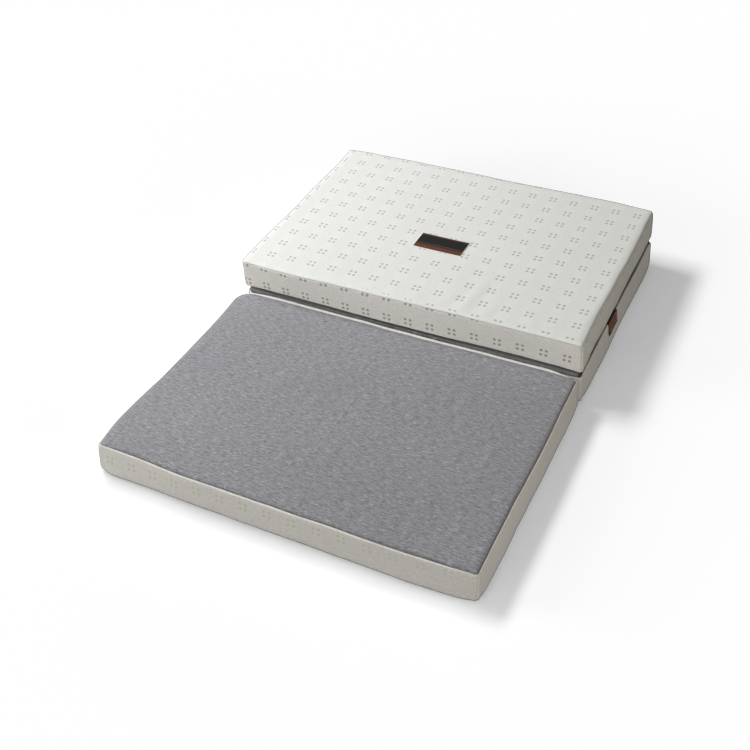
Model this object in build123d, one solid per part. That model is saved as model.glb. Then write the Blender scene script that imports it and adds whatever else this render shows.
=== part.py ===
from build123d import *
import os

# Three-section folding foam mattress, shown half folded: the front section lies
# flat, the middle section lies flat behind it, and the third section is folded
# over on top of the middle one.  Millimetres, +Z up, +Y from front to rear,
# origin at the middle of the footprint on the floor.

# ---- driving dimensions -------------------------------------------------
WIDTH = 976.0          # across the bed, over the filled cover
SECTION_L = 680.0      # each section, front to rear
THICK = 88.0           # each section, face to back
COVER_T = 2.0          # cover fabric with its thin quilted lining
CORNER_R = 20.0        # plan radius of a section's corners
GAP_FRONT = 10.0       # between the front and middle sections, at the floor hinge
SET_BACK = 12.0        # folded section stands this far behind the middle's front edge
FOLD_GAP = 2.0         # between the two gray faces that are folded together
BODY_X = 2.0           # middle of the front and middle sections
FOLDED_X = -6.0        # the folded section lies a little to the left of them
MID_FRONT_Y = -3.5     # y of the middle section's front edge
REAR_AXIS_Y = 693.5    # y of the rear fold line

# fold strips
LEAF_T = 1.5           # floor-side fold strip
LEAF_CLEAR = 0.2       # each leaf stops this far from the fold line
REAR_LEAF_CLEAR = 0.3

# zip fasteners, one in each section's left gusset
ZIP_L = 560.0
TAPE_W = 16.0
TAPE_EXTRA = 12.0      # tape beyond the coil at each end
COIL_W = 5.0
COIL_H = 1.4
STOP_L = 4.0
SLIDER_L = 13.0
SLIDER_CLEAR = 0.3
PLATE_T = 1.5
FLANGE_T = 1.5
POST_T = 1.2
PIN_R = 0.8
PIN_CLEAR = 0.1
EYE_R = 1.9
TAB_L = 24.0
TAB_W = 6.4
TAB_T = 1.2

# sewn-on labels
LABEL_W = 146.0
LABEL_D = 75.0
LABEL_T = 0.6
LABEL_X = -10.0
LABEL_Y = 288.0
TAG_W = 76.0
TAG_Y = 269.5

os.makedirs("parts", exist_ok=True)


def save(name, shape):
    export_step(shape, "parts/" + name + ".step")


def box(x0, x1, y0, y1, z0, z1):
    return Pos((x0 + x1) / 2, (y0 + y1) / 2, (z0 + z1) / 2) * Box(x1 - x0, y1 - y0, z1 - z0)


def rounded(w, l, r, h, cx, cy, z0):
    return Pos(cx, cy, z0) * extrude(RectangleRounded(w, l, r), h)


def section(name, x0, y0, z0, gray_up):
    """One foam block with its cover: two faces and four gusset strips."""
    t = COVER_T
    y1 = y0 + SECTION_L
    cy = (y0 + y1) / 2
    z1 = z0 + THICK
    hw = WIDTH / 2

    core = rounded(WIDTH - 2 * t, SECTION_L - 2 * t, CORNER_R - t, THICK - 2 * t, x0, cy, z0 + t)
    save(name + "_foam_core", core)

    top = rounded(WIDTH, SECTION_L, CORNER_R, t, x0, cy, z1 - t)
    bottom = rounded(WIDTH, SECTION_L, CORNER_R, t, x0, cy, z0)
    save(name + "_gray_face", top if gray_up else bottom)
    save(name + "_dotted_back", bottom if gray_up else top)

    ring = rounded(WIDTH, SECTION_L, CORNER_R, THICK - 2 * t, x0, cy, z0 + t) - rounded(
        WIDTH - 2 * t, SECTION_L - 2 * t, CORNER_R - t, THICK - 2 * t, x0, cy, z0 + t
    )
    xl, xr = x0 - hw, x0 + hw
    big = 10.0
    front = ring & box(xl - big, xr + big, y0 - big, y0 + CORNER_R, z0 - big, z1 + big)
    rear = ring & box(xl - big, xr + big, y1 - CORNER_R, y1 + big, z0 - big, z1 + big)
    save(name + "_front_gusset", front)
    save(name + "_rear_gusset", rear)
    save(
        name + "_right_gusset",
        box(xr - t, xr, y0 + CORNER_R, y1 - CORNER_R, z0 + t, z1 - t),
    )
    # the left gusset has a slot, which the zip's tape fills
    zc = (z0 + z1) / 2
    ya = cy - ZIP_L / 2 - TAPE_EXTRA
    yb = cy + ZIP_L / 2 + TAPE_EXTRA
    left = box(xl, xl + t, y0 + CORNER_R, y1 - CORNER_R, z0 + t, z1 - t) - box(
        xl - 1, xl + t + 1, ya, yb, zc - TAPE_W / 2, zc + TAPE_W / 2
    )
    save(name + "_left_gusset", left)
    zipper(name, xl, cy, zc)


def zipper(name, xs, cy, zc):
    """Coil zip along Y on the left side, closed, its slider at the front end."""
    t = COVER_T
    ya = cy - ZIP_L / 2
    yb = cy + ZIP_L / 2
    tape = box(xs, xs + t, ya - TAPE_EXTRA, yb + TAPE_EXTRA, zc - TAPE_W / 2, zc + TAPE_W / 2)
    save(name + "_zip_tape", tape)
    coil = box(xs - COIL_H, xs, ya, yb, zc - COIL_W / 2, zc + COIL_W / 2)
    save(name + "_zip_coil", coil)
    sw = COIL_W / 2 + 0.6
    stops = Compound(
        children=[
            box(xs - COIL_H - 0.2, xs, ya - STOP_L, ya, zc - sw, zc + sw),
            box(xs - COIL_H - 0.2, xs, yb, yb + STOP_L, zc - sw, zc + sw),
        ]
    )
    save(name + "_zip_stops", stops)

    # slider: a channel over the coil, with two posts and a pin on its back
    ys = ya + SLIDER_L / 2 + 1.0
    x_plate = xs - COIL_H - SLIDER_CLEAR
    x_back = x_plate - PLATE_T
    half = COIL_W / 2 + SLIDER_CLEAR
    s0, s1 = ys - SLIDER_L / 2, ys + SLIDER_L / 2
    slider = box(x_back, x_plate, s0, s1, zc - half - FLANGE_T, zc + half + FLANGE_T)
    for sgn in (-1, 1):
        za, zb = sorted((zc + sgn * half, zc + sgn * (half + FLANGE_T)))
        slider = slider + box(x_back, xs - SLIDER_CLEAR, s0, s1, za, zb)
    x_pin = x_back - EYE_R - 0.4
    post_in = TAB_W / 2 - 1.0
    for sgn in (-1, 1):
        za, zb = sorted((zc + sgn * post_in, zc + sgn * (post_in + POST_T)))
        slider = slider + box(x_pin - PIN_R - 0.5, x_back, ys - 1.5, ys + 1.5, za, zb)
    pin = Pos(x_pin, ys, zc) * Cylinder(PIN_R, 2 * post_in + 0.4)
    slider = slider + pin
    save(name + "_zip_slider", slider)

    # pull tab: an eye round the pin and a flat tongue
    eye_h = 2 * post_in - 0.6
    pull = Pos(x_pin, ys, zc) * Cylinder(EYE_R, eye_h)
    neck = box(x_pin - TAB_T / 2, x_pin + TAB_T / 2, ys + 0.2, ys + 6.0, zc - eye_h / 2, zc + eye_h / 2)
    tongue = Pos(x_pin + TAB_T / 2, ys + 5.0 + (TAB_L - 5.0) / 2, zc) * (
        Rot(0, -90, 0) * extrude(RectangleRounded(TAB_W, TAB_L - 5.0, 2.4), TAB_T)
    )
    pull = pull + neck + tongue
    pull = pull - Pos(x_pin, ys, zc) * Cylinder(PIN_R + PIN_CLEAR, eye_h + 4)
    save(name + "_zip_pull", pull)
    print(name, "zip pin", round(x_pin, 3), round(ys, 3), round(zc, 3), "outermost", round(x_pin - EYE_R, 3))


# ---- the three sections -------------------------------------------------
front_y0 = MID_FRONT_Y - GAP_FRONT - SECTION_L
folded_y0 = MID_FRONT_Y + SET_BACK
folded_z0 = THICK + FOLD_GAP
section("front", BODY_X, front_y0, 0.0, True)
section("middle", BODY_X, MID_FRONT_Y, 0.0, True)
section("folded", FOLDED_X, folded_y0, folded_z0, False)

# ---- fold strips --------------------------------------------------------
hx = WIDTH / 2 - CORNER_R - abs(FOLDED_X - BODY_X)
rear_x = (FOLDED_X + BODY_X) / 2
fold_y = MID_FRONT_Y - GAP_FRONT / 2
save("front_fold_strip_front", box(BODY_X - hx, BODY_X + hx, MID_FRONT_Y - GAP_FRONT, fold_y - LEAF_CLEAR, 0, LEAF_T))
save("front_fold_strip_middle", box(BODY_X - hx, BODY_X + hx, fold_y + LEAF_CLEAR, MID_FRONT_Y, 0, LEAF_T))
mid_rear = MID_FRONT_Y + SECTION_L
fold_rear = folded_y0 + SECTION_L
save("rear_fold_strip_middle", box(rear_x - hx, rear_x + hx, mid_rear, REAR_AXIS_Y - REAR_LEAF_CLEAR, THICK - COVER_T, THICK))
save(
    "rear_fold_strip_folded",
    box(rear_x - hx, rear_x + hx, fold_rear, REAR_AXIS_Y - REAR_LEAF_CLEAR, folded_z0, folded_z0 + COVER_T),
)

# ---- labels -------------------------------------------------------------
top_z = folded_z0 + THICK
save(
    "face_label",
    rounded(LABEL_W, LABEL_D, 1.5, LABEL_T, LABEL_X, LABEL_Y, top_z),
)
hw = BODY_X + WIDTH / 2
tag_profile = [(hw, 85.0), (hw, 83.4), (hw + 10.6, 52.4), (hw + 11.6, 52.8), (hw + 1.4, 85.0)]
tag_face = make_face(
    Polyline(*[(x, TAG_Y + TAG_W / 2, z) for x, z in tag_profile], close=True)
)
save("side_tag", extrude(tag_face, TAG_W, dir=(0, -1, 0)))

print("front fold axis y", fold_y, "z 0; rear fold axis y", REAR_AXIS_Y, "z", THICK + FOLD_GAP / 2)
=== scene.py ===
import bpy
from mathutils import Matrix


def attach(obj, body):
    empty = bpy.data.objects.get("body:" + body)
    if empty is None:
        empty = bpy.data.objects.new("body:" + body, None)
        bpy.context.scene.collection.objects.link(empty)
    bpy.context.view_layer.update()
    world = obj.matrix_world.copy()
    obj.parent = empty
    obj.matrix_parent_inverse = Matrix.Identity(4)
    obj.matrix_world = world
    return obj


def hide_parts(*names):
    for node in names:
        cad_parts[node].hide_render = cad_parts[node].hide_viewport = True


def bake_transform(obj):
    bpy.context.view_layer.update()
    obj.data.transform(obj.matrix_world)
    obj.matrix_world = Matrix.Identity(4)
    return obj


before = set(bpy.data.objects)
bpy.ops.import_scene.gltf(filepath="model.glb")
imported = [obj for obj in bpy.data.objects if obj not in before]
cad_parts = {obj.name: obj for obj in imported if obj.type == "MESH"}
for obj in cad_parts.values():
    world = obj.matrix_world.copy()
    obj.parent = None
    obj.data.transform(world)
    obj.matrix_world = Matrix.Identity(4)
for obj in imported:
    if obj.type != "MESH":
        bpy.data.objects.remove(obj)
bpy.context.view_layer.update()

import math
import bpy
import numpy as np
from mathutils import Matrix, Vector

# Lengths below are millimetres unless a name ends in _m; meshes are made in metres.
MM = 0.001

# ------------------------------------------------------------------ camera
# A pinhole fitted to the object's corners: azimuth, elevation, roll, focal
# length in pixels of a 750-pixel frame, and distance to a point near the fold.
CAM = dict(az=27.67, el=39.82, roll=-2.85, f=1064.5, d=2983.8, tx=-90.3, ty=4.5, tz=-104.6)


def make_camera():
    az, el, ro = (math.radians(CAM[k]) for k in ("az", "el", "roll"))
    back = Vector((math.sin(az) * math.cos(el), -math.cos(az) * math.cos(el), math.sin(el)))
    right = Vector((math.cos(az), math.sin(az), 0.0))
    up = back.cross(right)
    r2 = right * math.cos(ro) + up * math.sin(ro)
    u2 = up * math.cos(ro) - right * math.sin(ro)
    pos = (Vector((CAM["tx"], CAM["ty"], CAM["tz"])) + back * CAM["d"]) * MM
    data = bpy.data.cameras.new("camera")
    data.sensor_fit = "HORIZONTAL"
    data.sensor_width = 36.0
    data.lens = CAM["f"] * 36.0 / 750.0
    data.clip_start, data.clip_end = 0.05, 60.0
    cam = bpy.data.objects.new("camera", data)
    m = Matrix.Identity(4)
    for i in range(3):
        m[i][0], m[i][1], m[i][2], m[i][3] = r2[i], u2[i], back[i], pos[i]
    cam.matrix_world = m
    bpy.context.scene.collection.objects.link(cam)
    bpy.context.scene.camera = cam


make_camera()

# ------------------------------------------------------------------ noise


def lattice(n, seed):
    return np.random.RandomState(seed).uniform(-1.0, 1.0, n)


def wave1(t, wavelength, seed, period=None):
    """Smooth 1-D noise in -1..1; t in mm, repeating over period if one is given."""
    t = np.asarray(t, float)
    if period:
        n = max(3, int(round(period / wavelength)))
        u = t / period * n
    else:
        n = 4096
        u = t / wavelength + 1000.0
    v = lattice(n, seed)
    i = np.floor(u).astype(int)
    f = u - i
    p0, p1, p2, p3 = (v[(i + k) % n] for k in (-1, 0, 1, 2))
    return 0.5 * (2 * p1 + (p2 - p0) * f + (2 * p0 - 5 * p1 + 4 * p2 - p3) * f ** 2 + (3 * p1 - p0 - 3 * p2 + p3) * f ** 3)


def wave2(x, y, wx, wy, seed):
    """Smooth 2-D noise in about -1..1 with its own wavelength along x and y."""
    n = 64
    v = np.random.RandomState(seed).uniform(-1.0, 1.0, (n, n))
    u, w = np.asarray(x, float) / wx + 500.0, np.asarray(y, float) / wy + 500.0
    i, j = np.floor(u).astype(int), np.floor(w).astype(int)
    f, g = u - i, w - j

    def cr(p0, p1, p2, p3, s):
        return 0.5 * (2 * p1 + (p2 - p0) * s + (2 * p0 - 5 * p1 + 4 * p2 - p3) * s ** 2 + (3 * p1 - p0 - 3 * p2 + p3) * s ** 3)

    rows = []
    for b in (-1, 0, 1, 2):
        rows.append(cr(*(v[(i + a) % n, (j + b) % n] for a in (-1, 0, 1, 2)), f))
    return cr(*rows, g)


def smooth(x, a, b):
    s = np.clip((np.asarray(x, float) - a) / (b - a), 0, 1)
    return s * s * (3 - 2 * s)


def refine(rows, times=1):
    """Catmull-Rom points between the rows of a profile."""
    p = np.array(rows, float)
    for _ in range(times):
        q = np.vstack([2 * p[0] - p[1], p, 2 * p[-1] - p[-2]])
        mid = (-q[:-3] + 9 * q[1:-2] + 9 * q[2:-1] - q[3:]) / 16.0
        out = np.empty((2 * len(p) - 1, p.shape[1]))
        out[0::2], out[1::2] = p, mid
        p = out
    return p


# ------------------------------------------------------------------ mesh helpers


def mesh_object(name, verts_mm, faces, mat, thick=0.0, smooth_shade=True):
    me = bpy.data.meshes.new(name)
    me.from_pydata((np.asarray(verts_mm, float) * MM).tolist(), [], [tuple(map(int, f)) for f in faces])
    me.validate()
    me.update()
    ob = bpy.data.objects.new(name, me)
    bpy.context.scene.collection.objects.link(ob)
    if mat is not None:
        me.materials.append(mat)
    if thick:
        s = ob.modifiers.new("cloth_thickness", "SOLIDIFY")
        s.thickness = thick * MM
        s.offset = -1.0
        bake_modifiers(ob)
    if smooth_shade:
        ob.data.polygons.foreach_set("use_smooth", [True] * len(ob.data.polygons))
    return ob


def bake_modifiers(ob):
    dg = bpy.context.evaluated_depsgraph_get()
    new = bpy.data.meshes.new_from_object(ob.evaluated_get(dg))
    old = ob.data
    name = old.name
    ob.modifiers.clear()
    ob.data = new
    bpy.data.meshes.remove(old)
    new.name = name


def grid_faces(nr, nc, close=False, flip=False, offset=0):
    """Quads of nr by nc points stored row by row; close joins the last column to the first."""
    r = np.arange(nr - 1)[:, None]
    c = np.arange(nc if close else nc - 1)[None, :]
    c2 = (c + 1) % nc
    a = r * nc + c
    b = r * nc + c2
    d = (r + 1) * nc + c
    e = (r + 1) * nc + c2
    q = np.stack(np.broadcast_arrays(a, b, e, d), -1).reshape(-1, 4) + offset
    return q[:, ::-1] if flip else q


# ------------------------------------------------------------------ shader helpers


class Nodes:
    def __init__(self, name):
        self.mat = bpy.data.materials.new(name)
        self.mat.use_nodes = True
        self.t = self.mat.node_tree
        self.b = next(n for n in self.t.nodes if n.type == "BSDF_PRINCIPLED")

    def new(self, kind, **props):
        n = self.t.nodes.new(kind)
        for k, v in props.items():
            setattr(n, k, v)
        return n

    def put(self, socket, value):
        if isinstance(value, bpy.types.NodeSocket):
            self.t.links.new(value, socket)
        else:
            socket.default_value = value

    def math(self, op, a, b=None, clamp=False):
        n = self.new("ShaderNodeMath", operation=op, use_clamp=clamp)
        self.put(n.inputs[0], a)
        if b is not None:
            self.put(n.inputs[1], b)
        return n.outputs[0]

    def remap(self, v, a, b, c=0.0, d=1.0, kind="SMOOTHSTEP"):
        n = self.new("ShaderNodeMapRange", interpolation_type=kind)
        n.clamp = True if kind == "LINEAR" else n.clamp
        self.put(n.inputs["Value"], v)
        for k, x in (("From Min", a), ("From Max", b), ("To Min", c), ("To Max", d)):
            n.inputs[k].default_value = x
        return n.outputs["Result"]

    def mix(self, f, a, b, blend="MIX"):
        n = self.new("ShaderNodeMix", data_type="RGBA", blend_type=blend)
        self.put(n.inputs[0], f)
        self.put(n.inputs[6], a)
        self.put(n.inputs[7], b)
        return n.outputs[2]

    def coords(self):
        """Object coordinates in millimetres: x, y, z and the vector."""
        tc = self.new("ShaderNodeTexCoord")
        v = self.new("ShaderNodeVectorMath", operation="SCALE")
        self.put(v.inputs[0], tc.outputs["Object"])
        v.inputs["Scale"].default_value = 1000.0
        s = self.new("ShaderNodeSeparateXYZ")
        self.put(s.inputs[0], v.outputs[0])
        return s.outputs[0], s.outputs[1], s.outputs[2], v.outputs[0]

    def vec(self, x, y, z=0.0):
        n = self.new("ShaderNodeCombineXYZ")
        for i, k in enumerate((x, y, z)):
            self.put(n.inputs[i], k)
        return n.outputs[0]

    def noise(self, vector, scale=1.0, detail=2.0, rough=0.5):
        n = self.new("ShaderNodeTexNoise")
        self.put(n.inputs["Vector"], vector)
        n.inputs["Scale"].default_value = scale
        n.inputs["Detail"].default_value = detail
        n.inputs["Roughness"].default_value = rough
        return n.outputs["Fac"] if "Fac" in n.outputs else n.outputs[0]

    def bump(self, height, strength, distance_mm, normal=None):
        n = self.new("ShaderNodeBump")
        n.inputs["Strength"].default_value = strength
        n.inputs["Distance"].default_value = distance_mm * MM
        self.put(n.inputs["Height"], height)
        if normal is not None:
            self.put(n.inputs["Normal"], normal)
        return n.outputs["Normal"]


def rgb(r, g, b):
    """An sRGB colour of 0..255 as linear RGBA."""
    def lin(c):
        c /= 255.0
        return c / 12.92 if c <= 0.04045 else ((c + 0.055) / 1.055) ** 2.4
    return (lin(r), lin(g), lin(b), 1.0)


AXES = {"xy": (0, 1), "xz": (0, 2), "yz": (1, 2)}


def gray_heather(name, axes="xy", tone=1.0, crease=None, painted_seam_shade=None):
    """Gray melange cloth: slubs along the weft, darker and lighter yarns, plain weave."""
    m = Nodes(name)
    c = m.coords()
    u, v = c[AXES[axes][0]], c[AXES[axes][1]]
    # the yarns wander a little
    warp = m.noise(m.vec(m.math("MULTIPLY", u, 0.02), m.math("MULTIPLY", v, 0.02)), 1.0, 1.0)
    v2 = m.math("ADD", v, m.math("MULTIPLY", warp, 9.0))
    slub = m.noise(m.vec(m.math("MULTIPLY", u, 1 / 11.0), m.math("MULTIPLY", v2, 1 / 1.9)), 1.0, 2.0, 0.6)
    slub2 = m.noise(m.vec(m.math("MULTIPLY", u, 1 / 24.0), m.math("MULTIPLY", v2, 1 / 4.4), 7.0), 1.0, 2.0, 0.5)
    flecks = m.noise(m.vec(m.math("MULTIPLY", u, 1 / 5.5), m.math("MULTIPLY", v2, 1 / 1.1), 3.0), 1.0, 2.0, 0.6)
    ends = m.noise(m.vec(m.math("MULTIPLY", u, 1 / 1.1), m.math("MULTIPLY", v, 1 / 22.0), 11.0), 1.0, 1.0, 0.5)
    cloud = m.noise(m.vec(m.math("MULTIPLY", u, 1 / 240.0), m.math("MULTIPLY", v, 1 / 240.0), 5.0), 1.0, 2.0)
    f = m.math("ADD", m.math("MULTIPLY", slub, 0.42), m.math("MULTIPLY", slub2, 0.26))
    f = m.math("ADD", f, m.math("MULTIPLY", flecks, 0.26))
    f = m.math("ADD", f, m.math("MULTIPLY", ends, 0.08))
    f = m.math("ADD", f, m.math("MULTIPLY", cloud, 0.04))
    f = m.remap(f, 0.34, 0.72, 0.0, 1.0, "LINEAR")
    ramp = m.new("ShaderNodeValToRGB")
    m.put(ramp.inputs[0], f)
    e = ramp.color_ramp.elements
    k = tone
    e[0].position, e[0].color = 0.0, (0.105 * k, 0.103 * k, 0.112 * k, 1)
    e[1].position, e[1].color = 1.0, (0.56 * k, 0.555 * k, 0.585 * k, 1)
    for p, col in ((0.38, (0.215, 0.212, 0.229)), (0.62, (0.325, 0.321, 0.342))):
        x = e.new(p)
        x.color = (col[0] * k, col[1] * k, col[2] * k, 1)
    shade = ramp.outputs[0]
    # plain weave, about 0.9 mm a yarn
    weave = m.math("MULTIPLY", m.math("SINE", m.math("MULTIPLY", u, 2 * math.pi / 1.8)), m.math("SINE", m.math("MULTIPLY", v2, 2 * math.pi / 1.8)))
    h = m.math("ADD", m.math("MULTIPLY", weave, 0.35), m.math("MULTIPLY", slub, 0.8))
    h = m.math("ADD", h, m.math("MULTIPLY", flecks, 0.6))
    if crease:
        # a thin crease along v at u = crease[0], from crease[1] to crease[2]: bumped in, with a painted highlight
        # lightening the colour on one flank
        d = m.math("ABSOLUTE", m.math("SUBTRACT", m.math("ADD", u, m.math("MULTIPLY", warp, 3.0)), crease[0] + 1.5))
        on = m.math("MULTIPLY", m.remap(v, crease[1] - 25, crease[1] + 25), m.remap(v, crease[2] - 25, crease[2] + 25, 1.0, 0.0))
        h = m.math("ADD", h, m.math("MULTIPLY", m.math("MULTIPLY", m.remap(d, 0.0, 3.2, 1.0, 0.0), on), 3.6))
        # painted highlight: the colour is lightened in a thin line beside the crease
        painted_crease_highlight = m.math("MULTIPLY", m.math("MULTIPLY", m.remap(d, 0.6, 2.2, 1.0, 0.0), on), 0.20)
        shade = m.mix(painted_crease_highlight, shade, (0.50 * k, 0.495 * k, 0.52 * k, 1))
    if painted_seam_shade:
        # painted shade: the colour darkens towards the right seam roll, in the valley under the folded section, and
        # along the front strip that the folded section shades
        painted_shade_mask = m.math("MAXIMUM", m.remap(u, painted_seam_shade[0] - 5.5, painted_seam_shade[0], 0.0, 0.9), m.remap(v, painted_seam_shade[1], painted_seam_shade[1] + 11.0, 0.34, 0.0))
        shade = m.mix(painted_shade_mask, shade, (0.035 * k, 0.034 * k, 0.036 * k, 1))
    m.put(m.b.inputs["Base Color"], shade)
    m.put(m.b.inputs["Normal"], m.bump(h, 0.34, 0.5))
    m.put(m.b.inputs["Roughness"], m.remap(flecks, 0.2, 0.8, 0.98, 0.82, "LINEAR"))
    m.b.inputs["Specular IOR Level"].default_value = 0.25
    m.b.inputs["Sheen Weight"].default_value = 0.12
    m.b.inputs["Sheen Roughness"].default_value = 0.5
    return m.mat


PITCH = 62.4       # cluster to cluster, both ways
DOT_OFF = 7.0      # half the spacing of a cluster's dots
DOT_R = 3.9


def dotted_cloth(name, axes, origin, base, dot, dots=1.0, stripe=1.0, pitch=PITCH, slope=0.0, curve=0.0, field=None, fade=None):
    """Ivory jacquard with four-dot clusters; origin is a cluster's centre in mm, slope and curve
    say how a row climbs along u, no dot shows outside field (u0, u1, v0, v1), and fade (u0, u1, k)
    weakens the dots to k along u."""
    m = Nodes(name)
    c = m.coords()
    u, v = c[AXES[axes][0]], c[AXES[axes][1]]
    wob = m.noise(m.vec(m.math("MULTIPLY", u, 1 / 55.0), m.math("MULTIPLY", v, 1 / 55.0), 2.0), 1.0, 1.0)
    wob2 = m.noise(m.vec(m.math("MULTIPLY", u, 1 / 55.0), m.math("MULTIPLY", v, 1 / 55.0), 9.0), 1.0, 1.0)
    uu = m.math("ADD", m.math("SUBTRACT", u, origin[0] + 1.5), m.math("MULTIPLY", wob, 3.0))
    vv = m.math("ADD", m.math("SUBTRACT", v, origin[1] + 1.5), m.math("MULTIPLY", wob2, 3.0))
    if slope or curve:
        climb = m.math("ADD", m.math("MULTIPLY", u, slope), m.math("MULTIPLY", m.math("MULTIPLY", u, u), curve))
        vv = m.math("SUBTRACT", vv, climb)
    cu = m.math("PINGPONG", uu, pitch / 2)
    cv = m.math("PINGPONG", vv, pitch / 2)
    du = m.math("ABSOLUTE", m.math("SUBTRACT", cu, DOT_OFF))
    dv = m.math("ABSOLUTE", m.math("SUBTRACT", cv, DOT_OFF))
    # a rounded square, as a woven dot is
    p = 2.6
    r = m.math("POWER", m.math("ADD", m.math("POWER", du, p), m.math("POWER", dv, p)), 1 / p)
    fray = m.noise(m.vec(m.math("MULTIPLY", u, 1 / 0.9), m.math("MULTIPLY", v, 1 / 0.9), 4.0), 1.0, 1.0)
    r = m.math("ADD", r, m.math("MULTIPLY", m.math("SUBTRACT", fray, 0.5), 1.5))
    mask = m.remap(r, DOT_R - 0.55, DOT_R + 0.55, 1.0, 0.0)
    if field:
        for q, a, b in ((u, field[0], 1), (u, field[1], -1), (v, field[2], 1), (v, field[3], -1)):
            mask = m.math("MULTIPLY", mask, m.remap(q, a - 1.5, a + 1.5, 0.0 if b > 0 else 1.0, 1.0 if b > 0 else 0.0))
    if fade:
        mask = m.math("MULTIPLY", mask, m.remap(u, fade[0], fade[1], 1.0, fade[2]))
    # tone-on-tone satin bands between the columns of dots, and fine ribs
    band = m.remap(cu, 13.0, 18.0, 0.0, 1.0)
    yarn = m.noise(m.vec(m.math("MULTIPLY", u, 1 / 1.0), m.math("MULTIPLY", v, 1 / 16.0), 1.0), 1.0, 2.0, 0.6)
    yarn2 = m.noise(m.vec(m.math("MULTIPLY", u, 1 / 14.0), m.math("MULTIPLY", v, 1 / 1.0), 6.0), 1.0, 2.0, 0.6)
    cloud = m.noise(m.vec(m.math("MULTIPLY", u, 1 / 180.0), m.math("MULTIPLY", v, 1 / 180.0), 8.0), 1.0, 2.0)
    tint = m.math("ADD", m.math("MULTIPLY", m.math("SUBTRACT", yarn, 0.5), 0.16), m.math("MULTIPLY", m.math("SUBTRACT", yarn2, 0.5), 0.16))
    tint = m.math("ADD", tint, m.math("MULTIPLY", m.math("SUBTRACT", cloud, 0.5), 0.05))
    mottle = m.noise(m.vec(m.math("MULTIPLY", u, 1 / 9.0), m.math("MULTIPLY", v, 1 / 6.0), 3.0), 1.0, 2.0, 0.6)
    tint = m.math("ADD", tint, m.math("MULTIPLY", m.math("SUBTRACT", mottle, 0.5), 0.13 if stripe == 1.0 else 0.30))
    tint = m.math("ADD", tint, m.math("MULTIPLY", band, -0.022 * stripe))
    tint = m.math("ADD", tint, 1.0)
    col = m.mix(m.math("MULTIPLY", mask, dots), base, dot)
    toned = m.new("ShaderNodeVectorMath", operation="SCALE")
    m.put(toned.inputs[0], col)
    m.put(toned.inputs["Scale"], tint)
    m.put(m.b.inputs["Base Color"], toned.outputs[0])
    rib = m.math("ADD", m.math("MULTIPLY", m.math("SINE", m.math("MULTIPLY", u, 2 * math.pi / 1.3)), 0.25), m.math("MULTIPLY", m.math("SINE", m.math("MULTIPLY", v, 2 * math.pi / 1.1)), 0.25))
    h = m.math("ADD", rib, m.math("MULTIPLY", m.math("ADD", yarn, yarn2), 0.7))
    h = m.math("ADD", h, m.math("MULTIPLY", mask, -0.5))
    m.put(m.b.inputs["Normal"], m.bump(h, 0.4, 0.4))
    m.put(m.b.inputs["Roughness"], m.remap(mask, 0.0, 1.0, 0.72, 0.9, "LINEAR"))
    m.b.inputs["Specular IOR Level"].default_value = 0.3
    m.b.inputs["Sheen Weight"].default_value = 0.08
    m.b.inputs["Sheen Roughness"].default_value = 0.4
    return m.mat


def foam_material():
    m = Nodes("cream_foam")
    x, y, z, v = m.coords()
    vor = m.new("ShaderNodeTexVoronoi")
    m.put(vor.inputs["Vector"], v)
    vor.inputs["Scale"].default_value = 0.7
    n = m.noise(v, 0.05, 3.0)
    m.put(m.b.inputs["Base Color"], m.mix(n, (0.72, 0.64, 0.42, 1), (0.82, 0.76, 0.58, 1)))
    m.put(m.b.inputs["Normal"], m.bump(vor.outputs["Distance"], 0.6, 0.8))
    m.put(m.b.inputs["Roughness"], m.remap(vor.outputs["Distance"], 0.0, 0.8, 1.0, 0.85, "LINEAR"))
    return m.mat


def tape_material():
    m = Nodes("zip_tape_weave")
    x, y, z, v = m.coords()
    ribs = m.math("SINE", m.math("MULTIPLY", y, 2 * math.pi / 1.0))
    rows = m.math("SINE", m.math("MULTIPLY", z, 2 * math.pi / 0.7))
    n = m.noise(m.vec(m.math("MULTIPLY", y, 1 / 1.2), m.math("MULTIPLY", z, 1 / 3.0)), 1.0, 2.0)
    m.put(m.b.inputs["Base Color"], m.mix(n, rgb(196, 193, 184), rgb(222, 219, 211)))
    m.put(m.b.inputs["Normal"], m.bump(m.math("ADD", m.math("MULTIPLY", ribs, 0.5), m.math("MULTIPLY", rows, 0.4)), 0.6, 0.3))
    m.put(m.b.inputs["Roughness"], m.remap(n, 0.2, 0.8, 0.75, 0.92, "LINEAR"))
    return m.mat


def coil_material():
    m = Nodes("zip_coil_nylon")
    x, y, z, v = m.coords()
    n = m.noise(v, 0.6, 2.0)
    m.put(m.b.inputs["Base Color"], m.mix(n, rgb(188, 185, 176), rgb(206, 203, 194)))
    m.put(m.b.inputs["Roughness"], m.remap(n, 0.2, 0.8, 0.38, 0.55, "LINEAR"))
    m.put(m.b.inputs["Normal"], m.bump(n, 0.2, 0.2))
    return m.mat


def zip_metal_material():
    m = Nodes("zip_nickel")
    x, y, z, v = m.coords()
    n = m.noise(v, 0.9, 4.0, 0.65)
    s = m.noise(m.vec(m.math("MULTIPLY", y, 0.25), m.math("MULTIPLY", z, 3.0), m.math("MULTIPLY", x, 3.0)), 1.0, 2.0)
    m.put(m.b.inputs["Base Color"], m.mix(n, (0.50, 0.49, 0.47, 1), (0.66, 0.65, 0.63, 1)))
    m.b.inputs["Metallic"].default_value = 1.0
    m.put(m.b.inputs["Roughness"], m.remap(m.math("ADD", n, s), 0.6, 1.4, 0.26, 0.46, "LINEAR"))
    m.put(m.b.inputs["Normal"], m.bump(s, 0.15, 0.1))
    return m.mat


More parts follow.
